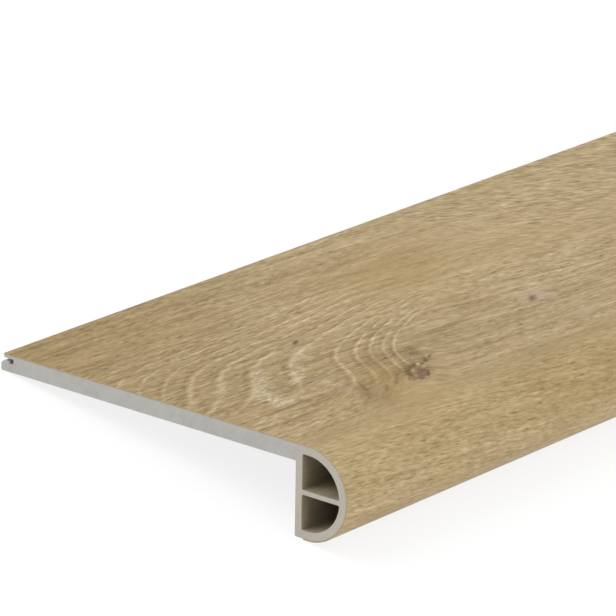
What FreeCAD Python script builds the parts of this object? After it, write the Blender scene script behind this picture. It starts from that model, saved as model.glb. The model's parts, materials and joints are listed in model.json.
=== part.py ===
# Stair tread: a rigid vinyl board with a hollow half-round nose, under a printed wear layer.
#
# The section is drawn level, in millimetres, and extruded along X. Y runs from the nose to the
# back, with Y = 0 on the heel face behind the nose, and Z = 0 is the walking surface.
# The finished tread is then tilted to lie as it does on a floor, on the heel of its nose and
# on the lower lip of its back edge.
import FreeCAD, Part
import math
import os

# Board
tread_length = 1220.0
tread_depth = 178.0        # front of the nose to the top edge at the back
board_thickness = 7.5      # with the wear layer

# Hollow nose
nose_height = 39.0         # with the wear layer
nose_flat = 6.3            # flat under the nose, from the heel face to the half round
nose_wall = 4.0            # round wall, with the wear layer
heel_wall = 3.4            # upright wall behind the hollow
web_thickness = 2.1        # shelf across the middle of the hollow
heel_radius = 0.8          # lowest corner of the heel
seat_radius = 0.4          # inner corner that seats on the edge of a step
chamber_radius = 0.6       # corners of the two chambers

# Printed wear layer
film_thickness = 0.5
film_underlap = 2.0        # film on the flat under the nose

# Click groove in the back edge
upper_lip = 1.8            # board above the groove, with the wear layer
lower_lip = 3.5            # board below the groove
groove_depth = 5.0         # from the top edge into the board
lip_reach = 1.7            # lower lip past the top edge
hook_height = 1.0          # ridge along the lower lip
hook_start = 2.7           # inner side of the ridge, in from the top edge
hook_radius = 2.3          # rounded shoulder of the ridge
toe_radius = 0.9           # lower corner of the lower lip
groove_radius = 0.3        # small corners of the groove

# Places worked out from the sizes
nose_radius = nose_height / 2
nose_front = -nose_flat - nose_radius
back_edge = nose_front + tread_depth
lip_end = back_edge + lip_reach
channel_floor = lower_lip - board_thickness
core_bottom = film_thickness - nose_height
film_end = film_underlap - nose_flat

# Edges that turn by more than this are corners, the others are tangent joins
CORNER_DEGREES = 5.0


def prism(corners):
    """Extrudes an outline along the tread. Each corner is (y, z) or (y, z, radius)."""
    places = [FreeCAD.Vector(-tread_length / 2, c[0], c[1]) for c in corners]
    radii = [c[2] if len(c) > 2 else 0.0 for c in corners]
    count = len(corners)
    starts = []
    ends = []
    rounds = []
    for i, corner in enumerate(places):
        before = (places[i - 1] - corner).normalize()
        after = (places[(i + 1) % count] - corner).normalize()
        half_angle = before.getAngle(after) / 2
        setback = radii[i] / math.tan(half_angle)
        to_round = radii[i] / math.sin(half_angle) - radii[i]
        starts.append(corner + before * setback)
        ends.append(corner + after * setback)
        rounds.append(corner + (before + after).normalize() * to_round)
    edges = []
    for i in range(count):
        following = starts[(i + 1) % count]
        if radii[i] > 0:
            edges.append(Part.Arc(starts[i], rounds[i], ends[i]).toShape())
        if not ends[i].isEqual(following, Part.Precision.confusion()):
            edges.append(Part.LineSegment(ends[i], following).toShape())
    return Part.Face(Part.Wire(edges)).extrude(FreeCAD.Vector(tread_length, 0, 0))


def corner_edges(solid):
    """Lengthwise edges of an extruded solid where two faces meet at a corner."""
    found = []
    for edge in solid.Edges:
        faces = solid.ancestorsOfType(edge, Part.Face)
        start = edge.Vertexes[0].Point
        end = edge.Vertexes[-1].Point
        if len(faces) == 2 and abs(end.x - start.x) > tread_length / 2:
            normals = [f.normalAt(*f.Surface.parameter(start)) for f in faces]
            if math.degrees(normals[0].getAngle(normals[1])) > CORNER_DEGREES:
                found.append(edge)
    return found


def nose_chambers():
    """The two hollows of the nose: a half-round space, parted by the web."""
    hollow = prism([
        (-heel_wall, -nose_wall),
        (nose_front + nose_wall, -nose_wall, nose_radius - nose_wall),
        (nose_front + nose_wall, nose_wall - nose_height, nose_radius - nose_wall),
        (-heel_wall, nose_wall - nose_height),
    ])
    web = prism([
        (0, -nose_radius + web_thickness / 2),
        (nose_front, -nose_radius + web_thickness / 2),
        (nose_front, -nose_radius - web_thickness / 2),
        (0, -nose_radius - web_thickness / 2),
    ])
    return [c.makeFillet(chamber_radius, corner_edges(c)) for c in hollow.cut(web).Solids]


def extruded_core():
    """The rigid core: board, hollow nose and the click groove of the back edge, in one section."""
    blank = prism([
        (back_edge, -film_thickness),
        (nose_front + film_thickness, -film_thickness, nose_radius - film_thickness),
        (nose_front + film_thickness, core_bottom, nose_radius - film_thickness),
        (0, core_bottom, heel_radius),
        (0, -board_thickness, seat_radius),
        (lip_end, -board_thickness, toe_radius),
        (lip_end, channel_floor + hook_height, hook_radius),
        (back_edge - hook_start, channel_floor + hook_height, groove_radius),
        (back_edge - hook_start, channel_floor, groove_radius),
        (back_edge - groove_depth, channel_floor, groove_radius),
        (back_edge - groove_depth, -upper_lip, groove_radius),
        (back_edge, -upper_lip, groove_radius),
    ])
    return blank.cut(nose_chambers()).Solids[0]


def printed_wear_layer():
    """The printed film: over the board, round the nose and a little way under it."""
    return prism([
        (back_edge, 0),
        (nose_front, 0, nose_radius),
        (nose_front, -nose_height, nose_radius),
        (film_end, -nose_height),
        (film_end, core_bottom),
        (nose_front + film_thickness, core_bottom, nose_radius - film_thickness),
        (nose_front + film_thickness, -film_thickness, nose_radius - film_thickness),
        (back_edge, -film_thickness),
    ])


def tilt_on(y, z, radius):
    """Angle at which the toe of the lower lip and a round under the nose lie on one floor."""
    across = lip_end - toe_radius - y
    rise = toe_radius - board_thickness - z
    slope = math.atan2(rise, across)
    return slope + math.asin((radius - toe_radius) / math.hypot(across, rise))


def lay_on_floor(pieces):
    """Tilts the tread to where it rests, centres it and sets it down on Z = 0."""
    on_heel = tilt_on(-heel_radius, core_bottom + heel_radius, heel_radius)
    on_film = tilt_on(film_end, -nose_height, 0)
    for piece in pieces:
        piece.rotate(FreeCAD.Vector(), FreeCAD.Vector(1, 0, 0), -math.degrees(max(on_heel, on_film)))
    box = Part.makeCompound(pieces).BoundBox
    for piece in pieces:
        piece.translate(FreeCAD.Vector(-box.Center.x, -box.Center.y, -box.ZMin))


core = extruded_core()
film = printed_wear_layer()
lay_on_floor([core, film])

os.makedirs("parts", exist_ok=True)
core.exportStep("parts/extruded_core.step")
film.exportStep("parts/printed_wear_layer.step")
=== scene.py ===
"""Stair tread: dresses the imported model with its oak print, its grey core and a plain pale studio.

The section is drawn level, in metres, as it was extruded: Y runs from the nose to the back, with
Y = 0 on the heel face, and Z = 0 is the walking surface. Lie places it as the tread lies on the floor.
"""

from __future__ import annotations

import json
import logging
import math
import random
from dataclasses import dataclass, field
from enum import Enum

import bpy
from mathutils import Matrix, Vector
from mathutils.geometry import tessellate_polygon

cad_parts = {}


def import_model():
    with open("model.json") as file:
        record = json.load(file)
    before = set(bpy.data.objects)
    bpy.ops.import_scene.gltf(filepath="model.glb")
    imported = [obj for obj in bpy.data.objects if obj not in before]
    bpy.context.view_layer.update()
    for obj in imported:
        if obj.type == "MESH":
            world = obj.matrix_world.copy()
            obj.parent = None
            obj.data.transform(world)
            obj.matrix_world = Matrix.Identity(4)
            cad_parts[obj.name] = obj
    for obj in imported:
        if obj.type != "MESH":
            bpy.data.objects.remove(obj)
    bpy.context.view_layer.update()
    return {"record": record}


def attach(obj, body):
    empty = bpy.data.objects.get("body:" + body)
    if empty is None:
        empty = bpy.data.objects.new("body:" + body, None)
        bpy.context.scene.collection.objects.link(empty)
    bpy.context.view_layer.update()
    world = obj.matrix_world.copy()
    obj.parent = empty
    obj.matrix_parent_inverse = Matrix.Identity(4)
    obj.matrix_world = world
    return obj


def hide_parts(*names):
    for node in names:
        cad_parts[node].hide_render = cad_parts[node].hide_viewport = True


LOG = logging.getLogger("stair_tread")
BODY = "root"
PRINT_MAP = "unrolled"
BAKE_MAP = "OFBake"
MM = 0.001
# Points of an outline that are closer than this are one point
SAME_POINT = 0.001 * MM
# Faces that meet at more than this make a sharp edge
SHARP_ANGLE = math.radians(30)
# A mark of the print has no effect at this many times its own size
FARTHEST = 5.0
# Sockets of a Mix node that mixes colours
MIX_FIRST = 6
MIX_SECOND = 7
MIX_RESULT = 2

Point = tuple[float, float]
Colour = tuple[float, float, float]
WHITE: Colour = (1.0, 1.0, 1.0)
# The number of a ring's first point in a mesh, and the points of the ring
Ring = tuple[int, list[Point]]


def srgb(red: int, green: int, blue: int) -> Colour:
    """A colour as screens write it, from 0 to 255 each, turned into linear light."""
    shares = (red / 255, green / 255, blue / 255)
    return tuple(c / 12.92 if c <= 0.04045 else ((c + 0.055) / 1.055) ** 2.4 for c in shares)


class FilmFace(Enum):
    """The faces of the printed film, in the order of its material slots."""

    PRINT = 0
    CUT = 1


class CoreFace(Enum):
    """The faces of the core, in the order of its material slots."""

    SKIN = 0
    CUT = 1
    # The chamber walls, whose material carries painted shade
    SHADED_CHAMBER = 2


@dataclass(frozen=True)
class Corner:
    """A corner of an outline, sharp or rounded."""

    y: float
    z: float
    radius: float = 0.0


def rounded(corners: list[Corner], step: float = math.radians(4)) -> list[Point]:
    """Draws a closed outline with its rounded corners.

    Args:
        corners: The outline's corners, in order.
        step: Largest turn between two points of a rounded corner, in radians.

    Returns:
        The outline's points.
    """
    points: list[Point] = []
    count = len(corners)
    for i, corner in enumerate(corners):
        here = Vector((corner.y, corner.z))
        before = corners[i - 1]
        after = corners[(i + 1) % count]
        to_before = (Vector((before.y, before.z)) - here).normalized()
        to_after = (Vector((after.y, after.z)) - here).normalized()
        if corner.radius == 0:
            points.append((here.x, here.y))
            continue
        half = to_before.angle(to_after) / 2
        centre = here + (to_before + to_after).normalized() * corner.radius / math.sin(half)
        start = here + to_before * corner.radius / math.tan(half) - centre
        turn = start.angle_signed(here + to_after * corner.radius / math.tan(half) - centre)
        steps = max(2, math.ceil(abs(turn) / step))
        for k in range(steps + 1):
            spoke = start.copy()
            spoke.rotate(Matrix.Rotation(-turn * k / steps, 2))
            points.append((centre.x + spoke.x, centre.y + spoke.y))
    return [p for i, p in enumerate(points) if math.dist(p, points[i - 1]) > SAME_POINT]


def inset(loop: list[Point], by: list[float]) -> list[Point]:
    """Moves a closed loop's points to their left, square to the loop.

    Args:
        loop: The loop's points, in order.
        by: How far each point moves.

    Returns:
        The moved points.
    """
    moved = []
    for i, (y, z) in enumerate(loop):
        along = Vector(loop[(i + 1) % len(loop)]) - Vector(loop[i - 1])
        along.normalize()
        moved.append((y - along.y * by[i], z + along.x * by[i]))
    return moved


def runs(path: list[Point]) -> list[float]:
    """How far along a path each of its points lies.

    Args:
        path: The path's points, in order.

    Returns:
        The distances from the first point.
    """
    distances = [0.0]
    for a, b in zip(path, path[1:]):
        distances.append(distances[-1] + math.dist(a, b))
    return distances


@dataclass(frozen=True)
class MapStrip:
    """A level strip of a piece's bake map, filled by one stretch of its surface."""

    low: float
    high: float
    margin: float = 0.004

    def at(self, along: float, across: float) -> Point:
        """The place on the map of a point, given as shares of the way along and across the strip."""
        return (self.margin + along * (1 - 2 * self.margin), self.low + across * (self.high - self.low))

    def quad(self, along: Point, across: Point) -> list[Point]:
        """The places of a four-cornered face that spans two shares each way.

        Args:
            along: Where the face starts and ends along the strip.
            across: Where it starts and ends across the strip.

        Returns:
            The places, going across first.
        """
        near, far = along
        left, right = across
        return [self.at(near, left), self.at(near, right), self.at(far, right), self.at(far, left)]


@dataclass(frozen=True)
class TreadSection:
    """The tread's section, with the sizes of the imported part."""

    length: float = 1220 * MM
    depth: float = 178 * MM
    board: float = 7.5 * MM
    nose_height: float = 39 * MM
    nose_flat: float = 6.3 * MM
    nose_wall: float = 4 * MM
    heel_wall: float = 3.4 * MM
    web: float = 2.1 * MM
    heel_radius: float = 0.8 * MM
    seat_radius: float = 0.4 * MM
    chamber_radius: float = 0.6 * MM
    film: float = 0.5 * MM
    film_underlap: float = 2 * MM
    upper_lip: float = 1.8 * MM
    lower_lip: float = 3.5 * MM
    groove_depth: float = 5 * MM
    lip_reach: float = 1.7 * MM
    hook_height: float = 1 * MM
    hook_start: float = 2.7 * MM
    hook_radius: float = 2.3 * MM
    toe_radius: float = 0.9 * MM
    groove_radius: float = 0.3 * MM

    @property
    def nose_radius(self) -> float:
        """Outer radius of the half-round nose."""
        return self.nose_height / 2

    @property
    def nose_front(self) -> float:
        """Foremost line of the nose."""
        return -self.nose_flat - self.nose_radius

    @property
    def back_edge(self) -> float:
        """Top edge at the back."""
        return self.nose_front + self.depth

    def stations(self, ease: float, spans: int) -> list[float]:
        """Places along the tread where a piece's mesh has a ring, with the eased ends.

        Args:
            ease: How far in from each end the easing starts.
            spans: How many even spans lie between.

        Returns:
            The places, from the near end to the far end.
        """
        half = self.length / 2
        inner = half - ease
        return [-half, *(inner * (2 * k / spans - 1) for k in range(spans + 1)), half]

    def core_outline(self) -> list[Point]:
        """Draws the outer outline of the core, with the click groove.

        Returns:
            The outline's points.
        """
        front = self.nose_front + self.film
        bottom = self.film - self.nose_height
        channel = self.lower_lip - self.board
        hook = channel + self.hook_height
        lip = self.back_edge + self.lip_reach
        ridge = self.back_edge - self.hook_start
        groove = self.back_edge - self.groove_depth
        return rounded([
            Corner(self.back_edge, -self.film),
            Corner(front, -self.film, self.nose_radius - self.film),
            Corner(front, bottom, self.nose_radius - self.film),
            Corner(0, bottom, self.heel_radius),
            Corner(0, -self.board, self.seat_radius),
            Corner(lip, -self.board, self.toe_radius),
            Corner(lip, hook, self.hook_radius),
            Corner(ridge, hook, self.groove_radius),
            Corner(ridge, channel, self.groove_radius),
            Corner(groove, channel, self.groove_radius),
            Corner(groove, -self.upper_lip, self.groove_radius),
            Corner(self.back_edge, -self.upper_lip, self.groove_radius),
        ])

    def chamber_outline(self, side: int) -> list[Point]:
        """Outline of one chamber of the nose.

        Args:
            side: 1 for the chamber above the web, -1 for the one below it.

        Returns:
            The outline's points, in the same turning sense as the core's outline.
        """
        radius = self.nose_radius - self.nose_wall
        rise = self.web / 2
        start = math.asin(rise / radius)
        steps = 22
        corners = [
            Corner(-self.heel_wall, side * rise, self.chamber_radius),
            Corner(-self.heel_wall, side * radius, self.chamber_radius),
        ]
        for k in range(steps + 1):
            angle = math.pi / 2 + (math.pi / 2 - start) * k / steps
            corner = self.chamber_radius if k == steps else 0.0
            y = radius * math.cos(angle) - self.nose_flat
            corners.append(Corner(y, side * radius * math.sin(angle), corner))
        loop = [(y, z - self.nose_radius) for y, z in rounded(corners)]
        return loop if side > 0 else loop[::-1]

    def film_path(self, depth: float) -> list[Point]:
        """The film's face, from the back edge round the nose to the film's end.

        Args:
            depth: How deep under the face the path runs.

        Returns:
            The path's points, as many for every depth.
        """
        radius = self.nose_radius - depth
        top_steps = 28
        turn_steps = 60
        top = self.back_edge + self.nose_flat
        path = [(self.back_edge - top * k / top_steps, -depth) for k in range(top_steps)]
        for k in range(turn_steps + 1):
            angle = math.pi / 2 + math.pi * k / turn_steps
            y = radius * math.cos(angle) - self.nose_flat
            path.append((y, radius * math.sin(angle) - self.nose_radius))
        path.append((self.film_underlap - self.nose_flat, depth - self.nose_height))
        return path


@dataclass(frozen=True)
class Lie:
    """How the level section lies on the floor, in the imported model's frame."""

    origin: Vector
    back: Vector
    up: Vector

    @classmethod
    def of_record(cls, record: dict, section: TreadSection) -> Lie:
        """Reads the lie from the two flat mounts, which meet in the corner that seats on a step.

        Args:
            record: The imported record.
            section: The tread's section.

        Returns:
            The lie.
        """
        mounts = {m["name"]: m for m in record["mounts"]}
        up = -Vector(mounts["tread_underside"]["axis"]).normalized()
        back = Vector(mounts["heel_face"]["axis"]).normalized()
        rise = Vector(mounts["tread_underside"]["pos_m"]).dot(up) + section.board
        reach = Vector(mounts["heel_face"]["pos_m"]).dot(back)
        return cls(up * rise + back * reach, back, up)

    def place(self, x: float, y: float, z: float) -> Vector:
        """A point of the level section, as it lies."""
        return self.origin + self.turn(x, y, z)

    def turn(self, x: float, y: float, z: float) -> Vector:
        """A direction in the level section, as it lies."""
        return Vector((x, 0, 0)) + self.back * y + self.up * z


@dataclass(frozen=True)
class Fade:
    """A smooth change from one value to another, while a measure climbs from low to high."""

    low: float
    high: float
    before: float = 0.0
    after: float = 1.0

    @classmethod
    def out(cls, low: float, high: float) -> Fade:
        """A fade from 1 to 0."""
        return cls(low, high, before=1.0, after=0.0)


class NodeSheet:
    """A material's node tree, with calls that add nodes and join them."""

    def __init__(self, name: str) -> None:
        """Starts a material that has only its shader.

        Args:
            name: The material's name.
        """
        self.material = bpy.data.materials.new(name)
        self.material.use_nodes = True
        self.tree = self.material.node_tree
        self.shader = self.tree.nodes["Principled BSDF"]

    def join(self, value: Signal | Colour | float, socket: bpy.types.NodeSocket) -> None:
        """Links a signal to a socket, or sets the socket to a constant.

        Args:
            value: The signal, or the constant: a colour or a number.
            socket: The socket.
        """
        if isinstance(value, Signal):
            self.tree.links.new(value.socket, socket)
        elif isinstance(value, tuple):
            socket.default_value = (*value, 1.0)
        else:
            socket.default_value = value

    def math(self, operation: str, *values: Signal | float) -> Signal:
        """Adds a Math node.

        Args:
            operation: The node's operation.
            values: Its inputs, in order.

        Returns:
            The result.
        """
        node = self.tree.nodes.new("ShaderNodeMath")
        node.operation = operation
        for value, socket in zip(values, node.inputs):
            self.join(value, socket)
        return Signal(self, node.outputs[0])

    def pack(self, x: Signal | float, y: Signal | float, z: Signal | float) -> Signal:
        """Joins three numbers into a vector.

        Args:
            x: First number.
            y: Second number.
            z: Third number.

        Returns:
            The vector.
        """
        node = self.tree.nodes.new("ShaderNodeCombineXYZ")
        for value, socket in zip((x, y, z), node.inputs):
            self.join(value, socket)
        return Signal(self, node.outputs[0])

    def parts(self, socket: bpy.types.NodeSocket) -> tuple[Signal, Signal, Signal]:
        """Splits a vector into its three numbers.

        Args:
            socket: The vector's socket.

        Returns:
            The numbers.
        """
        node = self.tree.nodes.new("ShaderNodeSeparateXYZ")
        self.tree.links.new(socket, node.inputs[0])
        return tuple(Signal(self, out) for out in node.outputs)

    def attribute(self, name: str) -> tuple[Signal, Signal, Signal]:
        """Reads a vector that the mesh stores.

        Args:
            name: The name it is stored under.

        Returns:
            Its three numbers.
        """
        node = self.tree.nodes.new("ShaderNodeAttribute")
        node.attribute_name = name
        return self.parts(node.outputs["Vector"])

    def object_place(self) -> tuple[Signal, Signal, Signal]:
        """The place on the object, in metres."""
        return self.parts(self.tree.nodes.new("ShaderNodeTexCoord").outputs["Object"])

    def noise(
        self,
        x: Signal | float,
        y: Signal | float,
        z: Signal | float,
        detail: float = 2.0,
        rough: float = 0.5,
        strength: float = 1.0,
    ) -> Signal:
        """Adds a noise that changes about once over each unit.

        Args:
            x: First coordinate.
            y: Second coordinate.
            z: Third coordinate, which also tells noises apart.
            detail: How many finer layers it has.
            rough: How strong the finer layers are.
            strength: How far it swings to both sides of 0.

        Returns:
            The noise, with most of it near 0.
        """
        node = self.tree.nodes.new("ShaderNodeTexNoise")
        node.inputs["Scale"].default_value = 1.0
        node.inputs["Detail"].default_value = detail
        node.inputs["Roughness"].default_value = rough
        self.join(self.pack(x, y, z), node.inputs["Vector"])
        return Signal(self, node.outputs[0]) * (2 * strength) - strength

    def reach(self, place: Signal, middle: Point, turn: float, size: Point) -> Signal:
        """How far a place lies from the middle of an ellipse, up to a farthest distance.

        Args:
            place: The place.
            middle: The ellipse's middle.
            turn: How far its long axis is turned, in radians.
            size: Half its length and half its width.

        Returns:
            The distance, as 1 on the ellipse's rim.
        """
        node = self.tree.nodes.new("ShaderNodeTexGradient")
        node.gradient_type = "SPHERICAL"
        fit = node.texture_mapping
        fit.vector_type = "TEXTURE"
        fit.translation = (*middle, 0.0)
        fit.rotation = (0.0, 0.0, turn)
        fit.scale = (size[0] * FARTHEST, size[1] * FARTHEST, 1.0)
        self.join(place, node.inputs["Vector"])
        return self.math("MULTIPLY_ADD", Signal(self, node.outputs["Fac"]), -FARTHEST, FARTHEST)

    def ramp(self, value: Signal, stops: list[tuple[float, Colour]]) -> Signal:
        """Turns a number into a colour.

        Args:
            value: The number, from 0 to 1.
            stops: Places along it and their colours.

        Returns:
            The colour.
        """
        node = self.tree.nodes.new("ShaderNodeValToRGB")
        elements = node.color_ramp.elements
        while len(elements) < len(stops):
            elements.new(0.5)
        for element, (place, colour) in zip(elements, stops):
            element.position = place
            element.color = (*colour, 1.0)
        self.join(value, node.inputs[0])
        return Signal(self, node.outputs[0])

    def mix(self, share: Signal, first: Signal | Colour, second: Signal | Colour) -> Signal:
        """Mixes two colours.

        Args:
            share: The second colour's share.
            first: The first colour.
            second: The second colour.

        Returns:
            The mixed colour.
        """
        node = self.tree.nodes.new("ShaderNodeMix")
        node.data_type = "RGBA"
        self.join(share, node.inputs[0])
        self.join(first, node.inputs[MIX_FIRST])
        self.join(second, node.inputs[MIX_SECOND])
        return Signal(self, node.outputs[MIX_RESULT])

    def relief(self, height: Signal, depth: float) -> None:
        """Gives the shader a fine relief.

        Args:
            height: The relief, in shares of its depth.
            depth: Its depth, in metres.
        """
        node = self.tree.nodes.new("ShaderNodeBump")
        node.inputs["Strength"].default_value = 1.0
        node.inputs["Distance"].default_value = depth
        self.join(height, node.inputs["Height"])
        self.tree.links.new(node.outputs[0], self.shader.inputs["Normal"])


class Signal:
    """A value that varies over a surface, from a socket of a node sheet."""

    def __init__(self, sheet: NodeSheet, socket: bpy.types.NodeSocket) -> None:
        """Keeps the sheet and the socket."""
        self.sheet = sheet
        self.socket = socket

    def __add__(self, other: Signal | float) -> Signal:
        """Sum."""
        return self.sheet.math("ADD", self, other)

    def __radd__(self, other: float) -> Signal:
        """Sum with a number on the left."""
        return self.sheet.math("ADD", other, self)

    def __sub__(self, other: Signal | float) -> Signal:
        """Difference."""
        return self.sheet.math("SUBTRACT", self, other)

    def __rsub__(self, other: float) -> Signal:
        """Difference from a number on the left."""
        return self.sheet.math("SUBTRACT", other, self)

    def __mul__(self, other: Signal | float) -> Signal:
        """Product."""
        return self.sheet.math("MULTIPLY", self, other)

    def __rmul__(self, other: float) -> Signal:
        """Product with a number on the left."""
        return self.sheet.math("MULTIPLY", other, self)

    def __truediv__(self, other: Signal | float) -> Signal:
        """Quotient."""
        return self.sheet.math("DIVIDE", self, other)

    def above(self, floor: Signal | float, blend: float) -> Signal:
        """How far this lies above a floor, or 0, with a soft bend between."""
        return self.sheet.math("SMOOTH_MAX", self - floor, 0.0, blend)

    def fract(self) -> Signal:
        """What is left past the whole number."""
        return self.sheet.math("FRACT", self)

    def bell(self) -> Signal:
        """A bell that is 1 at 0 and about a third of that at 1 on both sides."""
        return self.sheet.math("EXPONENT", self * self * -1.0)

    def over(self, fade: Fade) -> Signal:
        """The value of a fade as this signal climbs.

        Args:
            fade: The fade.

        Returns:
            Its value.
        """
        node = self.sheet.tree.nodes.new("ShaderNodeMapRange")
        node.interpolation_type = "SMOOTHSTEP"
        node.inputs["From Min"].default_value = fade.low
        node.inputs["From Max"].default_value = fade.high
        node.inputs["To Min"].default_value = fade.before
        node.inputs["To Max"].default_value = fade.after
        self.sheet.join(self, node.inputs["Value"])
        return Signal(self.sheet, node.outputs[0])


class FilmPlace:
    """A place on the unrolled film: u along the tread and v across it, in millimetres."""

    def __init__(self, u: Signal, v: Signal) -> None:
        """Keeps both distances and joins them into a point.

        Args:
            u: The distance along the tread, from its near end.
            v: The distance across the film, from its back edge.
        """
        self.sheet = u.sheet
        self.u = u
        self.v = v
        self.point = u.sheet.pack(u, v, 0.0)


@dataclass(frozen=True)
class Cloud:
    """A noise in the print, drawn out along the tread. Its sizes are in millimetres."""

    long: float
    wide: float
    seed: float
    detail: float = 2.0
    rough: float = 0.5
    strength: float = 1.0

    def draw(self, u: Signal, v: Signal) -> Signal:
        """Draws the noise over two distances, to both sides of 0."""
        place = (u / self.long, v / self.wide, self.seed)
        return u.sheet.noise(*place, self.detail, self.rough, self.strength)


@dataclass(frozen=True)
class Mark:
    """A mark in the print: an ellipse on the unrolled film, in millimetres and degrees.

    Its middle is along and across the film, and its size is half its length and half its width.
    """

    middle: Point
    size: Point
    slant: float = 0.0
    strength: float = 1.0

    def distance(self, at: FilmPlace) -> Signal:
        """Distance from the mark's middle, as 1 on its rim."""
        return at.sheet.reach(at.point, self.middle, math.radians(self.slant), self.size)

    def glow(self, at: FilmPlace) -> Signal:
        """The mark as a soft patch, as strong as it says in its middle."""
        return self.distance(at).bell() * self.strength


class Pattern(Enum):
    """How a stain is broken up inside its rim."""

    EVEN = 0
    MOTTLED = 1
    FLECKED = 2


@dataclass(frozen=True)
class Stain:
    """Marks of one colour in the print, with torn rims."""

    colour: Colour
    torn: float
    rim: Fade
    marks: tuple[Mark, ...]
    pattern: Pattern = Pattern.EVEN

    def lay(self, at: FilmPlace, tear: Signal, pattern: Signal | float, under: Signal) -> Signal:
        """Lays the marks over a colour.

        Args:
            at: The place on the film.
            tear: The noise that tears their rims.
            pattern: The share that the stain's pattern leaves.
            under: The colour under them.

        Returns:
            The colour with the marks on it.
        """
        for mark in self.marks:
            share = (mark.distance(at) + tear * self.torn).over(self.rim)
            under = at.sheet.mix(share * (pattern * mark.strength), under, self.colour)
        return under


@dataclass(frozen=True)
class Fibres:
    """The fine grain of one stretch of wood. Each size is long by wide, in millimetres."""

    seed: float
    streak: Point = (32.0, 2.7)
    fibre: Point = (5.0, 1.35)
    pore: Point = (5.0, 0.85)
    streak_share: float = 0.5
    fibre_share: float = 0.42
    pore_share: float = 0.26
    tick_share: float = 0.12
    rough: float = 0.6
    pore_rise: Fade = Fade(0.14, 0.4)
    tick_rise: Fade = Fade.out(-0.42, -0.18)

    def draw(self, along: Signal, across: Signal) -> Signal:
        """Draws streaks, fibres, dark pores and pale ticks along the grain.

        Args:
            along: Place along the tread, in millimetres.
            across: Place across the grain, in millimetres.

        Returns:
            How much paler than the wood around.
        """
        streaks = Cloud(*self.streak, self.seed, detail=3, rough=self.rough, strength=self.streak_share)
        fibres = Cloud(*self.fibre, self.seed + 2, rough=self.rough, strength=self.fibre_share)
        specks = Cloud(*self.pore, self.seed + 4, detail=1).draw(along, across)
        grain = streaks.draw(along, across) + fibres.draw(along, across)
        pores = specks.over(self.pore_rise) * self.pore_share
        ticks = specks.over(self.tick_rise) * self.tick_share
        return grain - pores + ticks


@dataclass(frozen=True)
class GrainLay:
    """How the fine grain runs: along the top, aslant over a part of it, and along the nose."""

    top: Fibres = Fibres(seed=17)
    aslant: Fibres = Fibres(
        seed=27, streak=(14, 2.4), fibre=(6, 1.35), pore=(5, 0.9),
        streak_share=0.5, fibre_share=0.62, pore_share=0.3, tick_share=0.2,
    )
    nose: Fibres = Fibres(
        seed=37, streak=(40, 1.9), fibre=(5, 1.0), pore=(6, 0.75),
        streak_share=0.36, fibre_share=0.4, pore_share=0.22, tick_share=0.12,
    )
    top_slope: float = 0.06
    aslant_slope: float = 0.5
    aslant_spread: float = 0.9
    nose_slope: float = 0.12
    sway: Cloud = Cloud(100, 30, seed=7, strength=3)
    dip: Fade = Fade(130, 260, after=14)
    dip_middle: float = 108.0
    dip_width: float = 28.0
    knot_lift: float = 2.5
    knot_spread: float = 2.0
    aslant_start: Fade = Fade(205, 265)
    aslant_end: Fade = Fade.out(430, 560)
    aslant_side: Fade = Fade.out(50, 115)
    nose_start: Fade = Fade(146, 168)

    def draw(self, at: FilmPlace, knots: tuple[Mark, ...]) -> Signal:
        """Draws the grain, which makes way for the knots.

        Args:
            at: The place on the film.
            knots: The knots.

        Returns:
            How much paler than the wood around.
        """
        u = at.u
        v = at.v
        dip = u.over(self.dip) * ((v - self.dip_middle) / self.dip_width).bell()
        across = v - self.top_slope * u - dip + self.sway.draw(u, v)
        for knot in knots:
            across = across + self.knot_lift * (knot.distance(at) / self.knot_spread).bell()
        top = self.top.draw(u, across)
        aslant = self.aslant.draw(u, (v - self.aslant_slope * u) * self.aslant_spread)
        nose = self.nose.draw(u, v - self.nose_slope * u)
        here = u.over(self.aslant_start) * u.over(self.aslant_end) * v.over(self.aslant_side)
        top = top + (aslant - top) * here
        return top + (nose - top) * v.over(self.nose_start)


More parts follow.
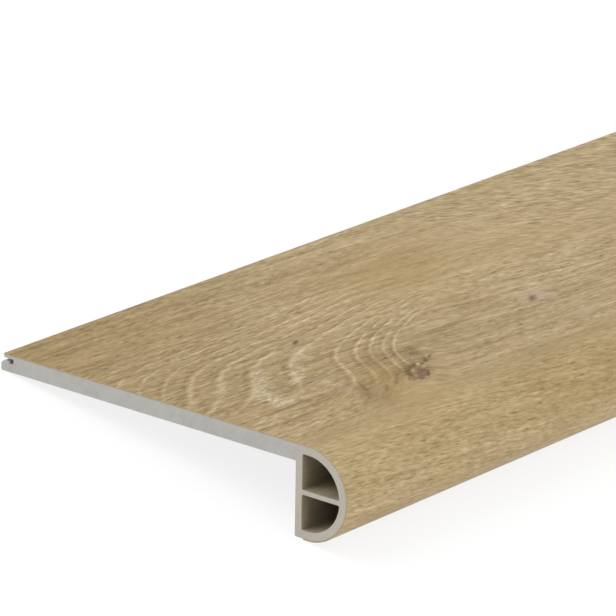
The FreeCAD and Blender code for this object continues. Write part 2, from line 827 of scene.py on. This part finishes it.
@dataclass(frozen=True)
class SweptFigure:
    """Growth lines that run along the tread and sweep down in front of a knot, ever closer to it."""

    bend_start: float = 45.0
    bend_slope: float = 0.67
    bend_blend: float = 42.5
    sweep: float = 0.596
    pinch: Mark = Mark((98, 145), (63, 95), slant=-65, strength=-38)
    lines: tuple[float, ...] = (45.2, 49.0, 52.6, 56.0, 59.2, 62.5, 66.4, 71.9, 74.8, 77.2, 79.6, 81.6)
    line_width: float = 0.28
    dark_side: float = 0.78
    dark_share: float = 0.5
    waver: Cloud = Cloud(6, 4.5, seed=3, strength=1.3)
    breaks: Cloud = Cloud(15, 8, seed=15)
    break_rise: Fade = Fade(-0.55, 0.15)
    start: Fade = Fade(10, 60, before=0.65)
    end: Fade = Fade.out(140, 195)
    knot_slope: float = 1.2
    knot_side: Fade = Fade.out(256, 288)
    low_slope: float = 0.35
    low_side: Fade = Fade.out(104, 121)

    def level(self, at: FilmPlace) -> Signal:
        """The growth level, whose contours are the lines, as millimetres of straight grain."""
        bend = (at.v - self.bend_slope * at.u).above(self.bend_start, self.bend_blend)
        return at.v - self.sweep * bend + self.pinch.glow(at)

    def relief(self, at: FilmPlace) -> Signal:
        """The pale lines and the dark side each has.

        Args:
            at: The place on the film.

        Returns:
            How much paler than the wood around, from -1 to 1.
        """
        u = at.u
        v = at.v
        level = self.level(FilmPlace(u, v + self.waver.draw(u, v)))
        drawn = 0.0
        for line in self.lines:
            pale = ((level - line) / self.line_width).bell()
            dark = ((level - line + self.dark_side) / self.line_width).bell()
            drawn = drawn + (pale - dark * self.dark_share)
        ahead = u.over(self.end) * (u + self.knot_slope * v).over(self.knot_side)
        above = (v - self.low_slope * u).over(self.low_side)
        broken = self.breaks.draw(u, v).over(self.break_rise)
        return drawn * ahead * above * broken * u.over(self.start)


@dataclass(frozen=True)
class ArchedFigure:
    """Nested arches of growth lines, along the middle of the far part of the tread."""

    axis: float = 86.0
    arch_step: float = 74.0
    line_step: float = 8.5
    tip_radius: float = 7.0
    line_width: float = 0.075
    pale_phase: float = 0.5
    dark_phase: float = 0.36
    dark_share: float = 0.8
    sway: Cloud = Cloud(190, 80, seed=51, strength=26)
    waver: Cloud = Cloud(30, 7, seed=53, strength=0.5)
    breaks: Cloud = Cloud(40, 9, seed=55)
    break_rise: Fade = Fade(-0.4, 0.3)
    start: Fade = Fade(430, 620)
    end: Fade = Fade.out(1100, 1220)

    def relief(self, at: FilmPlace) -> Signal:
        """The pale lines and the dark side each has.

        Args:
            at: The place on the film.

        Returns:
            How much paler than the wood around, from -1 to 1.
        """
        u = at.u
        v = at.v
        side = v - self.axis + self.sway.draw(u, v)
        flank = at.sheet.math("SQRT", side * side + self.tip_radius**2)
        level = flank / self.line_step - u / self.arch_step + self.waver.draw(u, v)
        phase = level.fract()
        pale = ((phase - self.pale_phase) / self.line_width).bell()
        dark = ((phase - self.dark_phase) / self.line_width).bell()
        broken = self.breaks.draw(u, v).over(self.break_rise)
        return (pale - dark * self.dark_share) * broken * u.over(self.start) * u.over(self.end)


@dataclass(frozen=True)
class OakPrint:
    """The printed face of the film: light oak with growth lines, knots, pores and a fine relief."""

    pale: Colour = srgb(222, 202, 165)
    light: Colour = srgb(197, 175, 136)
    middle: Colour = srgb(174, 152, 111)
    deep: Colour = srgb(150, 127, 87)
    dark: Colour = srgb(112, 90, 56)
    warm: Colour = srgb(180, 150, 98)
    roughness: float = 0.55
    pale_gloss: float = 0.08
    shine: float = 0.22
    emboss: float = 0.04 * MM
    emboss_grain: Cloud = Cloud(6, 0.9, seed=61, rough=0.6)
    base_tone: float = 0.385
    near_tone: Fade = Fade(0, 240, after=0.17)
    far_tone: Fade = Fade(450, 800, after=-0.08)
    # Painted light: the print is drawn paler round the nose, standing in for light that falls on the nose
    # as brightly as on the top
    painted_nose_light: Fade = Fade(136, 160, after=0.06)
    bands: Cloud = Cloud(70, 9, seed=13, detail=3, strength=0.18)
    ripples: Cloud = Cloud(15, 4, seed=47, detail=1)
    ripple_share: Fade = Fade(100, 200, after=0.13)
    veins: Cloud = Cloud(260, 13, seed=63)
    vein_share: Fade = Fade(360, 520, after=0.22)
    gold: Cloud = Cloud(40, 9, seed=41)
    gold_share: Fade = Fade(0, 0.6, after=0.22)
    tear: Cloud = Cloud(2.4, 1.5, seed=29, detail=4, rough=0.75)
    mottle: Cloud = Cloud(4, 1.7, seed=31, detail=3, rough=0.7, strength=1.3)
    mottle_slope: float = 0.8
    mottle_share: float = 0.7
    flecks: Cloud = Cloud(4, 1.2, seed=43)
    fleck_share: Fade = Fade(-0.12, 0.25, before=0.15)
    grain: GrainLay = GrainLay()
    swept: SweptFigure = SweptFigure()
    swept_share: float = 0.3
    arched: ArchedFigure = ArchedFigure()
    arched_share: float = 0.28
    shades: tuple[Mark, ...] = (
        Mark((20, 14), (80, 32), strength=-0.07),
        Mark((130, 12), (220, 22), strength=-0.03),
        Mark((15, 150), (38, 32), strength=0.05),
        Mark((130, 72), (150, 22), strength=0.045),
        Mark((215, 120), (45, 24), strength=-0.04),
        Mark((190, 184), (40, 24), strength=-0.04),
        Mark((30, 190), (50, 20), strength=0.05),
        Mark((165, 168), (55, 34), slant=-10, strength=-0.13),
        Mark((128, 108), (40, 22), slant=-20, strength=-0.05),
        Mark((188, 52), (32, 22), slant=-15, strength=-0.15),
        Mark((88, 120), (14, 8), slant=-40, strength=-0.17),
        Mark((118, 123), (8, 6), slant=-40, strength=0.1),
        Mark((120, 145), (14, 10), strength=0.06),
        Mark((14, 139), (22, 14), strength=0.09),
        Mark((48, 147), (9, 7), strength=-0.07),
        Mark((172, 146), (13, 6), strength=0.12),
        Mark((207, 102), (17, 5), slant=10, strength=0.11),
        Mark((171, 127), (7, 6), strength=-0.09),
        Mark((470, 150), (160, 60), strength=-0.06),
        Mark((900, 30), (220, 40), strength=-0.08),
    )
    stirs: tuple[Mark, ...] = (
        Mark((85, 156), (42, 13), strength=-0.2),
        Mark((18, 138), (28, 15), strength=0.2),
        Mark((250, 98), (45, 16), slant=8, strength=0.35),
    )
    golds: tuple[Mark, ...] = (
        Mark((188, 52), (36, 24), slant=-15, strength=0.55),
        Mark((260, 62), (40, 20), strength=0.2),
        Mark((25, 18), (60, 24), strength=0.22),
        Mark((66, 150), (30, 16), strength=0.3),
        Mark((80, 134), (17, 10), slant=-45, strength=0.5),
        Mark((160, 178), (36, 20), strength=0.12),
        Mark((640, 120), (120, 40), strength=0.25),
        Mark((1010, 60), (140, 50), strength=0.25),
    )
    knots: Stain = Stain(
        srgb(124, 99, 52), torn=1.3, rim=Fade.out(0.1, 1.3), pattern=Pattern.MOTTLED,
        marks=(
            Mark((104, 127.5), (14, 7), slant=-38, strength=0.5),
            Mark((93, 136), (11, 5.5), slant=-37, strength=0.9),
            Mark((92, 132), (8, 4), slant=-43, strength=0.6),
            Mark((113, 124.5), (6, 6), slant=-43, strength=0.45),
            Mark((99, 138), (5, 3.4), slant=-40, strength=0.7),
            Mark((80, 135), (13, 7), slant=-45, strength=0.3),
            Mark((64, 139), (20, 9), slant=-62, strength=0.6),
            Mark((742, 52), (16, 9), slant=12, strength=0.6),
        ),
    )
    blushes: Stain = Stain(
        srgb(184, 158, 134), torn=0.9, rim=Fade.out(0.1, 1.2),
        marks=(
            Mark((201.5, 114.5), (12, 10), slant=-35, strength=0.85),
            Mark((198, 142), (8, 5), slant=-35, strength=0.35),
            Mark((58, 130), (7, 4), slant=-30, strength=0.45),
            Mark((66, 139), (9, 4), slant=-45, strength=0.2),
        ),
    )
    dark_spots: Stain = Stain(
        srgb(88, 65, 26), torn=1.2, rim=Fade.out(0.2, 1.3),
        marks=(
            Mark((97.5, 130.8), (5.5, 2.4), slant=-12, strength=0.7),
            Mark((90, 135.5), (6, 2), slant=-48, strength=0.7),
            Mark((88.5, 141.5), (3.6, 2), slant=59, strength=0.6),
            Mark((107, 130), (3, 1.3), slant=-38, strength=0.85),
            Mark((111.5, 128.5), (4.4, 1.1), slant=-22, strength=0.55),
            Mark((109.5, 131), (3.4, 1.6), slant=19, strength=0.35),
            Mark((102.5, 132.4), (3.4, 1.1), slant=-30, strength=0.75),
            Mark((110.5, 121.5), (4, 2.2), strength=0.5),
            Mark((114.5, 116), (3.4, 1.6), slant=-9, strength=0.35),
            Mark((86, 132.5), (4, 1.4), slant=-38, strength=0.45),
            Mark((80, 137), (5, 1.4), slant=-38, strength=0.4),
            Mark((70, 141), (7, 1.5), slant=-42, strength=0.35),
            Mark((60, 139), (9, 1.2), slant=-50, strength=0.3),
            Mark((53, 144), (7, 1.2), slant=-35, strength=0.25),
            Mark((66, 132), (7, 1.1), slant=-60, strength=0.35),
            Mark((31, 125), (17, 0.9), strength=0.45),
            Mark((88.3, 78.3), (3.8, 1.5), slant=-38, strength=0.85),
            Mark((197.5, 115), (5, 2), slant=-35, strength=0.75),
            Mark((210, 115), (4.4, 1.5), slant=47, strength=0.4),
            Mark((199, 121), (3.5, 1.6), slant=35, strength=0.4),
            Mark((191, 111.5), (3.5, 1.2), slant=-35, strength=0.35),
            Mark((742, 53), (6, 3.5), slant=20, strength=0.7),
        ),
    )
    red_spots: Stain = Stain(
        srgb(118, 92, 70), torn=0.5, rim=Fade.out(0.6, 1.1),
        marks=(
            Mark((94.5, 139), (6, 3), slant=-34, strength=0.85),
            Mark((742, 53), (3.4, 1.8), slant=20, strength=0.8),
        ),
    )
    rims: Stain = Stain(
        srgb(88, 65, 26), torn=0.6, rim=Fade.out(0.4, 1.2),
        marks=(
            Mark((95.5, 141.2), (4, 0.9), slant=-38, strength=0.75),
            Mark((97.5, 136), (2, 1.2), slant=45, strength=0.5),
        ),
    )
    flames: Stain = Stain(
        srgb(210, 195, 167), torn=0.8, rim=Fade.out(0.2, 1.2), pattern=Pattern.FLECKED,
        marks=(
            Mark((47, 94.5), (14, 4.2), slant=-46, strength=0.65),
            Mark((70, 81), (17, 1.8), slant=-4, strength=0.5),
            Mark((31, 112.5), (12, 6.5), slant=-78, strength=1.0),
            Mark((39, 103), (9, 5), slant=-50, strength=0.55),
            Mark((79, 88.5), (12, 3.8), slant=-25, strength=0.85),
            Mark((62, 102), (10, 3.2), slant=-33, strength=0.6),
            Mark((116, 79), (26, 1.4), slant=-12, strength=0.4),
            Mark((53, 107.5), (8, 3.2), slant=-14, strength=0.95),
            Mark((59.5, 117.5), (8, 3), slant=73, strength=0.8),
            Mark((36, 121.8), (17, 1.5), slant=8, strength=1.0),
            Mark((26, 93), (15, 1.8), slant=-41, strength=0.6),
            Mark((11, 103), (11, 1.6), slant=-22, strength=0.45),
            Mark((13, 87.8), (13, 1.9), slant=-46, strength=0.6),
            Mark((101.5, 131), (2.2, 1.1), slant=-51, strength=1.0),
            Mark((101, 134), (2.8, 1), slant=-38, strength=1.0),
            Mark((112, 127), (3.2, 0.8), slant=-36, strength=0.6),
            Mark((93.5, 134.6), (2.2, 0.9), slant=-38, strength=0.7),
            Mark((117, 120), (4, 1.6), slant=5, strength=0.45),
        ),
    )

    def tone(self, at: FilmPlace) -> Signal:
        """How pale the print is.

        Args:
            at: The place on the film.

        Returns:
            The tone, from 0 for dark to 1 for pale.
        """
        u = at.u
        v = at.v
        stir = 1.0
        for mark in self.stirs:
            stir = mark.glow(at) + stir
        tone = self.grain.draw(at, self.knots.marks) * stir + self.bands.draw(u, v)
        tone = tone + self.ripples.draw(u, v) * u.over(self.ripple_share)
        tone = tone + self.veins.draw(u, v) * u.over(self.vein_share)
        for mark in self.shades:
            tone = tone + mark.glow(at)
        tone = tone + self.swept.relief(at) * self.swept_share
        tone = tone + self.arched.relief(at) * self.arched_share
        tone = tone + u.over(self.near_tone) + u.over(self.far_tone)
        # Adds the painted light that makes the nose paler, then the base tone
        return tone + v.over(self.painted_nose_light) + self.base_tone

    def stained(self, at: FilmPlace, colour: Signal) -> Signal:
        """Lays the knots, their spots and the pale flames over the grain.

        Args:
            at: The place on the film.
            colour: The grain's colour.

        Returns:
            The colour with the stains on it.
        """
        u = at.u
        v = at.v
        tear = self.tear.draw(u, v)
        mottle = self.mottle.draw(u - self.mottle_slope * v, v + self.mottle_slope * u)
        patterns = {
            Pattern.EVEN: 1.0,
            Pattern.MOTTLED: mottle + self.mottle_share,
            Pattern.FLECKED: self.flecks.draw(u, v).over(self.fleck_share),
        }
        for stain in (self.knots, self.blushes, self.dark_spots, self.red_spots, self.rims, self.flames):
            colour = stain.lay(at, tear, patterns[stain.pattern], colour)
        return colour

    def build(self) -> bpy.types.Material:
        """Makes the material.

        Returns:
            The material.
        """
        sheet = NodeSheet("oak_print")
        u, v, _ = sheet.attribute(PRINT_MAP)
        at = FilmPlace(u, v)
        tone = self.tone(at)
        tones = (self.dark, self.deep, self.middle, self.light, self.pale)
        colour = sheet.ramp(tone, [(k / (len(tones) - 1), shade) for k, shade in enumerate(tones)])
        gold = self.gold.draw(u, v).over(self.gold_share)
        for mark in self.golds:
            gold = gold + mark.glow(at)
        colour = sheet.mix(gold, colour, self.warm)
        sheet.join(self.stained(at, colour), sheet.shader.inputs["Base Color"])
        sheet.join(self.roughness - tone * self.pale_gloss, sheet.shader.inputs["Roughness"])
        sheet.join(self.shine, sheet.shader.inputs["Specular IOR Level"])
        sheet.relief(self.emboss_grain.draw(u, v), self.emboss)
        return sheet.material


@dataclass(frozen=True)
class FilmCut:
    """The film's cut edge: tan vinyl."""

    colour: Colour = srgb(178, 161, 132)
    shade: Colour = srgb(160, 143, 113)
    roughness: float = 0.6
    mottle_size: float = 2.5 * MM
    mottle_share: Fade = Fade(-0.5, 0.5)

    def build(self) -> bpy.types.Material:
        """Makes the material.

        Returns:
            The material.
        """
        sheet = NodeSheet("film_cut")
        mottle = sheet.noise(*(c / self.mottle_size for c in sheet.object_place()), detail=3)
        colour = sheet.mix(mottle.over(self.mottle_share), self.shade, self.colour)
        sheet.join(colour, sheet.shader.inputs["Base Color"])
        sheet.join(self.roughness, sheet.shader.inputs["Roughness"])
        return sheet.material


@dataclass(frozen=True)
class CoreVinyl:
    """The core's filled vinyl, as the die leaves it or as the saw cuts it.

    Its mottles, lines and specks are counted per metre, along and across. Inside the chambers it is drawn
    darker and warmer: painted shade.
    """

    light: Colour = srgb(184, 182, 176)
    middle: Colour = srgb(178, 176, 170)
    dull: Colour = srgb(166, 163, 156)
    speck: Colour = srgb(140, 136, 128)
    nose_cut: Colour = srgb(188, 176, 154)
    # Painted shade: the chamber walls are drawn darker and warmer than the vinyl outside, in place of the
    # shadow inside the hollow nose
    shaded_chamber_pale: Colour = srgb(166, 154, 131)
    shaded_chamber_dull: Colour = srgb(134, 122, 101)
    roughness: float = 0.62
    roughness_spread: float = 0.06
    mottles: Point = (60.0, 160.0)
    die_lines: Point = (3.0, 900.0)
    saw_lines: Point = (60.0, 1500.0)
    saw_way: Point = (0.9, 0.4)
    saw_seed: float = 37.0
    specks: float = 900.0
    mottle_share: float = 0.5
    line_share: float = 0.25
    base_tone: float = 0.5
    stops: tuple[float, float, float] = (0.1, 0.5, 0.9)
    speck_share: Fade = Fade(0.35, 0.6, after=0.35)
    nose_share: Fade = Fade(-67 * MM, -60 * MM, before=0.45, after=0.0)
    emboss: float = 0.05 * MM
    line_emboss: float = 0.6
    mottle_emboss: float = 0.3

    def lines(self, sheet: NodeSheet, face: CoreFace) -> Signal:
        """The lines that the saw leaves on the cut, or the die on the other faces.

        Args:
            sheet: The material's nodes.
            face: Which face they are on.

        Returns:
            The lines, around 0.
        """
        x, y, z = sheet.object_place()
        if face is CoreFace.CUT:
            long, fine = self.saw_lines
            ahead, aside = self.saw_way
            across = (y * ahead + z * aside) * fine
            along = (z * ahead - y * aside) * long
            return sheet.noise(across, along, self.saw_seed)
        long, fine = self.die_lines
        return sheet.noise(x * long, y * fine, z * fine)

    def build(self, face: CoreFace) -> bpy.types.Material:
        """Makes the material for one kind of face.

        Args:
            face: Which face it is for.

        Returns:
            The material.
        """
        sheet = NodeSheet(f"core_{face.name.lower()}")
        x, y, z = sheet.object_place()
        along, across = self.mottles
        mottle = sheet.noise(x * along, y * across, z * across, detail=4, rough=0.6)
        lines = self.lines(sheet, face)
        tone = mottle * self.mottle_share + lines * self.line_share + self.base_tone
        first, half_way, last = self.stops
        colours = [(first, self.dull), (half_way, self.middle), (last, self.light)]
        # Painted shade inside the chambers: darker, warmer colours instead of the vinyl's own
        if face is CoreFace.SHADED_CHAMBER:
            colours = [(first, self.shaded_chamber_dull), (last, self.shaded_chamber_pale)]
        colour = sheet.ramp(tone, colours)
        if face is CoreFace.CUT:
            colour = sheet.mix(y.over(self.nose_share), colour, self.nose_cut)
        specks = sheet.noise(*(c * self.specks for c in (x, y, z)), detail=1).over(self.speck_share)
        sheet.join(sheet.mix(specks, colour, self.speck), sheet.shader.inputs["Base Color"])
        sheet.join(self.roughness + mottle * self.roughness_spread, sheet.shader.inputs["Roughness"])
        sheet.relief(lines * self.line_emboss + mottle * self.mottle_emboss, self.emboss)
        return sheet.material


@dataclass
class Draft:
    """A piece's mesh while it is drawn: its points, and its faces with their slots and map places."""

    points: list[Vector] = field(default_factory=list)
    faces: list[tuple[int, ...]] = field(default_factory=list)
    slots: list[int] = field(default_factory=list)
    bake: list[Point] = field(default_factory=list)

    def add(self, corners: tuple[int, ...], kind: FilmFace | CoreFace, places: list[Point]) -> None:
        """Adds a face.

        Args:
            corners: The numbers of its points, in order.
            kind: Which kind of face it is.
            places: Where its corners lie on the bake map.
        """
        self.faces.append(corners)
        self.slots.append(kind.value)
        self.bake += places

    def finish(self, name: str, materials: list[bpy.types.Material]) -> bpy.types.Object:
        """Makes the piece, smooth except at its real edges.

        Args:
            name: The piece's name.
            materials: Its materials, in slot order.

        Returns:
            The piece.
        """
        mesh = bpy.data.meshes.new(name)
        mesh.from_pydata(self.points, [], self.faces)
        mesh.polygons.foreach_set("material_index", self.slots)
        for material in materials:
            mesh.materials.append(material)
        layer = mesh.uv_layers.new(name=BAKE_MAP)
        layer.uv.foreach_set("vector", [c for place in self.bake for c in place])
        mesh.shade_smooth()
        mesh.set_sharp_from_angle(angle=SHARP_ANGLE)
        piece = bpy.data.objects.new(name, mesh)
        bpy.context.scene.collection.objects.link(piece)
        return piece


@dataclass
class PrintedWearLayer:
    """The printed film: over the board, round the nose and a little way under it."""

    section: TreadSection
    lie: Lie
    ease: float = 0.12 * MM
    spans: int = 24
    print_finish: OakPrint = field(default_factory=OakPrint)
    cut_finish: FilmCut = field(default_factory=FilmCut)
    half_strips: tuple[MapStrip, MapStrip] = (MapStrip(0.004, 0.365), MapStrip(0.369, 0.73))
    under_strip: MapStrip = MapStrip(0.734, 0.9)
    end_strips: tuple[MapStrip, MapStrip] = (MapStrip(0.904, 0.948), MapStrip(0.952, 0.996))

    def add_sides(self, draft: Draft, places: list[float], shares: list[float]) -> None:
        """Adds the printed face, and the underside with the film's long edges.

        Args:
            draft: The film's mesh.
            places: Where its rings stand along the tread.
            shares: How far across the printed face its points lie.
        """
        half = self.section.length / 2
        last = len(shares) - 1
        ring = 2 * len(shares)
        for j in range(len(places) - 1):
            side = 0 if places[j + 1] <= 0 else 1
            in_half = (places[j] / half + 1 - side, places[j + 1] / half + 1 - side)
            in_whole = (places[j] / self.section.length + 0.5, places[j + 1] / self.section.length + 0.5)
            for k in range(ring):
                a = j * ring + k
                b = j * ring + (k + 1) % ring
                corners = (a, b, b + ring, a + ring)
                if k < last:
                    spots = self.half_strips[side].quad(in_half, (shares[k], shares[k + 1]))
                    draft.add(corners, FilmFace.PRINT, spots)
                else:
                    across = ((k - last) / (ring - last), (k + 1 - last) / (ring - last))
                    draft.add(corners, FilmFace.CUT, self.under_strip.quad(in_whole, across))

    def add_ends(self, draft: Draft, rings: int, shares: list[float]) -> None:
        """Closes both ends.

        Args:
            draft: The film's mesh.
            rings: How many rings it has.
            shares: How far across the printed face its points lie.
        """
        ring = 2 * len(shares)
        for first, turn, strip in zip((0, (rings - 1) * ring), (-1, 1), self.end_strips):
            for k, (near, far) in enumerate(zip(shares, shares[1:])):
                quad = (first + k, first + k + 1, first + ring - 2 - k, first + ring - 1 - k)
                spots = [strip.at(near, 0), strip.at(far, 0), strip.at(far, 1), strip.at(near, 1)]
                draft.add(quad[::turn], FilmFace.CUT, spots[::turn])

    def build(self) -> bpy.types.Object:
        """Builds and dresses the film.

        Returns:
            The piece.
        """
        face = self.section.film_path(0.0)
        eased = self.section.film_path(self.ease)
        under = self.section.film_path(self.section.film)
        run = runs(face)
        shares = [distance / run[-1] for distance in run]
        places = self.section.stations(self.ease, self.spans)
        draft = Draft()
        unrolled: list[float] = []
        for j, x in enumerate(places):
            outer = eased if j in (0, len(places) - 1) else face
            draft.points += [self.lie.place(x, y, z) for y, z in outer + under[::-1]]
            for distance in run + run[::-1]:
                unrolled += [(x + self.section.length / 2) / MM, distance / MM, 0.0]
        self.add_sides(draft, places, shares)
        self.add_ends(draft, len(places), shares)
        piece = draft.finish("printed_film", [self.print_finish.build(), self.cut_finish.build()])
        stored = piece.data.attributes.new(PRINT_MAP, "FLOAT_VECTOR", "POINT")
        stored.data.foreach_set("vector", unrolled)
        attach(piece, BODY)
        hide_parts("printed_wear_layer")
        return piece


@dataclass
class ExtrudedCore:
    """The grey core: board, hollow nose and click groove, sawn off at both ends."""

    section: TreadSection
    lie: Lie
    ease: float = 0.15 * MM
    ease_spread: Point = (0.5, 1.3)
    spans: int = 16
    seed: int = 4
    finish: CoreVinyl = field(default_factory=CoreVinyl)
    outer_strip: MapStrip = MapStrip(0.004, 0.4)
    chamber_strips: tuple[MapStrip, MapStrip] = (MapStrip(0.404, 0.45), MapStrip(0.454, 0.5))
    end_strips: tuple[MapStrip, MapStrip] = (MapStrip(0.504, 0.748), MapStrip(0.752, 0.996))

    def add_walls(
        self,
        draft: Draft,
        draw: random.Random,
        loop: list[Point],
        kind: CoreFace,
        strip: MapStrip,
    ) -> list[Ring]:
        """Adds the faces along one loop of the section, eased at both sawn ends.

        Args:
            draft: The core's mesh.
            draw: The source of the random draws that vary the easing.
            loop: The loop's points.
            kind: Which kind of face they are.
            strip: Where they lie on the bake map.

        Returns:
            The loop's rings at the near end and at the far end.
        """
        places = self.section.stations(self.ease, self.spans)
        last = len(places) - 1
        start = len(draft.points)
        count = len(loop)
        run = runs([*loop, loop[0]])
        ends: list[Ring] = []
        for j, x in enumerate(places):
            ring = loop
            if j in (0, last):
                ring = inset(loop, [self.ease * draw.uniform(*self.ease_spread) for _ in loop])
                ends.append((start + j * count, ring))
            draft.points += [self.lie.place(x, y, z) for y, z in ring]
        for j in range(last):
            along = (places[j] / self.section.length + 0.5, places[j + 1] / self.section.length + 0.5)
            for k in range(count):
                a = start + j * count + k
                b = start + j * count + (k + 1) % count
                across = (run[k] / run[-1], run[k + 1] / run[-1])
                draft.add((a, b, b + count, a + count), kind, strip.quad(along, across))
        return ends

    def add_end(self, draft: Draft, side: int, rings: tuple[Ring, ...]) -> None:
        """Closes one sawn end.

        Args:
            draft: The core's mesh.
            side: 0 for the near end, 1 for the far end.
            rings: The rings of the outline and of the two chambers at this end.
        """
        outline = self.section.core_outline()
        front, bottom = (min(values) for values in zip(*outline))
        back, top = (max(values) for values in zip(*outline))
        index = [first + k for first, ring in rings for k in range(len(ring))]
        flat = [[Vector((y, z, 0)) for y, z in ring] for _, ring in rings]
        corners = [corner for ring in flat for corner in ring]
        for triangle in tessellate_polygon(flat):
            a, b, c = (corners[i] for i in triangle)
            outward = (b - a).cross(c - a).z > 0
            order = triangle if outward == (side == 1) else triangle[::-1]
            spots = []
            for y, z, _ in (corners[i] for i in order):
                share = ((y - front) / (back - front), (z - bottom) / (top - bottom))
                spots.append(self.end_strips[side].at(*share))
            draft.add(tuple(index[i] for i in order), CoreFace.CUT, spots)

    def build(self) -> bpy.types.Object:
        """Builds and dresses the core.

        Returns:
            The piece.
        """
        draw = random.Random(self.seed)
        upper, lower = (self.section.chamber_outline(side)[::-1] for side in (1, -1))
        loops = (self.section.core_outline(), upper, lower)
        kinds = (CoreFace.SKIN, CoreFace.SHADED_CHAMBER, CoreFace.SHADED_CHAMBER)
        strips = (self.outer_strip, *self.chamber_strips)
        draft = Draft()
        ends = [self.add_walls(draft, draw, *wall) for wall in zip(loops, kinds, strips)]
        for side, rings in enumerate(zip(*ends)):
            self.add_end(draft, side, rings)
        piece = draft.finish("grey_core", [self.finish.build(face) for face in CoreFace])
        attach(piece, BODY)
        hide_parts("extruded_core")
        return piece


@dataclass(frozen=True)
class Lamp:
    """A large soft lamp that looks at the tread."""

    name: str
    way: tuple[float, float, float]
    power: float
    distance: float = 4.0
    size: float = 2.5

    def hang(self, lie: Lie) -> None:
        """Hangs the lamp, its way given as for the level section.

        Args:
            lie: How the tread lies.
        """
        lamp = bpy.data.lights.new(self.name, "AREA")
        lamp.shape = "DISK"
        lamp.size = self.size
        lamp.energy = self.power
        holder = bpy.data.objects.new(self.name, lamp)
        way = lie.turn(*self.way).normalized()
        holder.location = way * self.distance
        holder.rotation_euler = way.to_track_quat("Z", "Y").to_euler()
        bpy.context.scene.collection.objects.link(holder)


@dataclass
class Studio:
    """A plain white floor, even soft light and the photograph's camera."""

    lie: Lie
    section: TreadSection
    frame_px: float = 616
    focal_px: float = 5140.56
    azimuth: float = -50.599
    elevation: float = 18.965
    roll: float = 0.98
    camera_place: tuple[float, float, float] = (-1421.89 * MM, -1172.81 * MM, 687.80 * MM)
    sensor_width: float = 36.0
    farthest: float = 100.0
    floor_reach: float = 6.0
    floor_bounce: Colour = (0.85, 0.85, 0.85)
    floor_shade: Colour = (0.18, 0.18, 0.18)
    floor_glow: float = 0.83
    world_light: float = 0.6
    key: Lamp = Lamp("key", (-0.55, 0.3, 0.78), 66.0)
    fill: Lamp = Lamp("fill", (-0.15, -0.95, 0.25), 62.0)

    def build(self) -> None:
        """Builds the floor, the lights and the camera."""
        self.floor()
        self.world()
        for lamp in (self.key, self.fill):
            lamp.hang(self.lie)
        self.camera()

    def floor(self) -> None:
        """Lays a white floor that keeps the tread's shadow."""
        reach = self.floor_reach
        mesh = bpy.data.meshes.new("floor")
        corners = [(-reach, -reach, 0), (reach, -reach, 0), (reach, reach, 0), (-reach, reach, 0)]
        mesh.from_pydata(corners, [], [(0, 1, 2, 3)])
        floor = bpy.data.objects.new("floor", mesh)
        bpy.context.scene.collection.objects.link(floor)
        sheet = NodeSheet("white_floor")
        path = sheet.tree.nodes.new("ShaderNodeLightPath")
        seen = Signal(sheet, path.outputs["Is Camera Ray"])
        for ray in ("Is Glossy Ray", "Is Transmission Ray"):
            seen = sheet.math("MAXIMUM", seen, Signal(sheet, path.outputs[ray]))
        sheet.join(sheet.mix(seen, self.floor_bounce, self.floor_shade), sheet.shader.inputs["Base Color"])
        sheet.join(1.0, sheet.shader.inputs["Roughness"])
        sheet.join(0.0, sheet.shader.inputs["Specular IOR Level"])
        sheet.join(WHITE, sheet.shader.inputs["Emission Color"])
        sheet.join(seen * self.floor_glow, sheet.shader.inputs["Emission Strength"])
        mesh.materials.append(sheet.material)

    def world(self) -> None:
        """Fills the room with even white light."""
        world = bpy.data.worlds.new("studio")
        world.use_nodes = True
        bpy.context.scene.world = world
        tree = world.node_tree
        background = tree.nodes["Background"]
        background.inputs["Color"].default_value = (*WHITE, 1.0)
        path = tree.nodes.new("ShaderNodeLightPath")
        strength = tree.nodes.new("ShaderNodeMapRange")
        strength.inputs["To Min"].default_value = self.world_light
        strength.inputs["To Max"].default_value = 1.0
        tree.links.new(path.outputs["Is Camera Ray"], strength.inputs["Value"])
        tree.links.new(strength.outputs[0], background.inputs["Strength"])

    def camera(self) -> None:
        """Stands the camera where the photograph was taken."""
        azimuth = math.radians(self.azimuth)
        elevation = math.radians(self.elevation)
        flat = math.cos(elevation)
        back = Vector((math.sin(azimuth) * flat, -math.cos(azimuth) * flat, math.sin(elevation)))
        right = Vector((0, 0, 1)).cross(back).normalized()
        up = back.cross(right)
        lean = math.radians(self.roll)
        leaning_right = right * math.cos(lean) + up * math.sin(lean)
        leaning_up = up * math.cos(lean) - right * math.sin(lean)
        columns = [self.lie.turn(*axis) for axis in (leaning_right, leaning_up, back)]
        turn = Matrix(columns).transposed().to_4x4()
        x, y, z = self.camera_place
        place = self.lie.place(x - self.section.length / 2, y, z)
        lens = bpy.data.cameras.new("camera")
        lens.sensor_width = self.sensor_width
        lens.lens = self.focal_px * self.sensor_width / self.frame_px
        lens.clip_end = self.farthest
        camera = bpy.data.objects.new("camera", lens)
        camera.matrix_world = Matrix.Translation(place) @ turn
        bpy.context.scene.collection.objects.link(camera)
        bpy.context.scene.camera = camera


def main() -> None:
    """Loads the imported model, dresses it and sets up the studio."""
    logging.basicConfig(level=logging.INFO, format="%(name)s: %(message)s")
    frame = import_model()
    bpy.context.scene.view_settings.view_transform = "Standard"
    section = TreadSection()
    lie = Lie.of_record(frame["record"], section)
    for builder in (ExtrudedCore(section, lie), PrintedWearLayer(section, lie)):
        piece = builder.build()
        LOG.info("built %s with %d faces", piece.name, len(piece.data.polygons))
    Studio(lie, section).build()


if __name__ == "__main__":
    main()
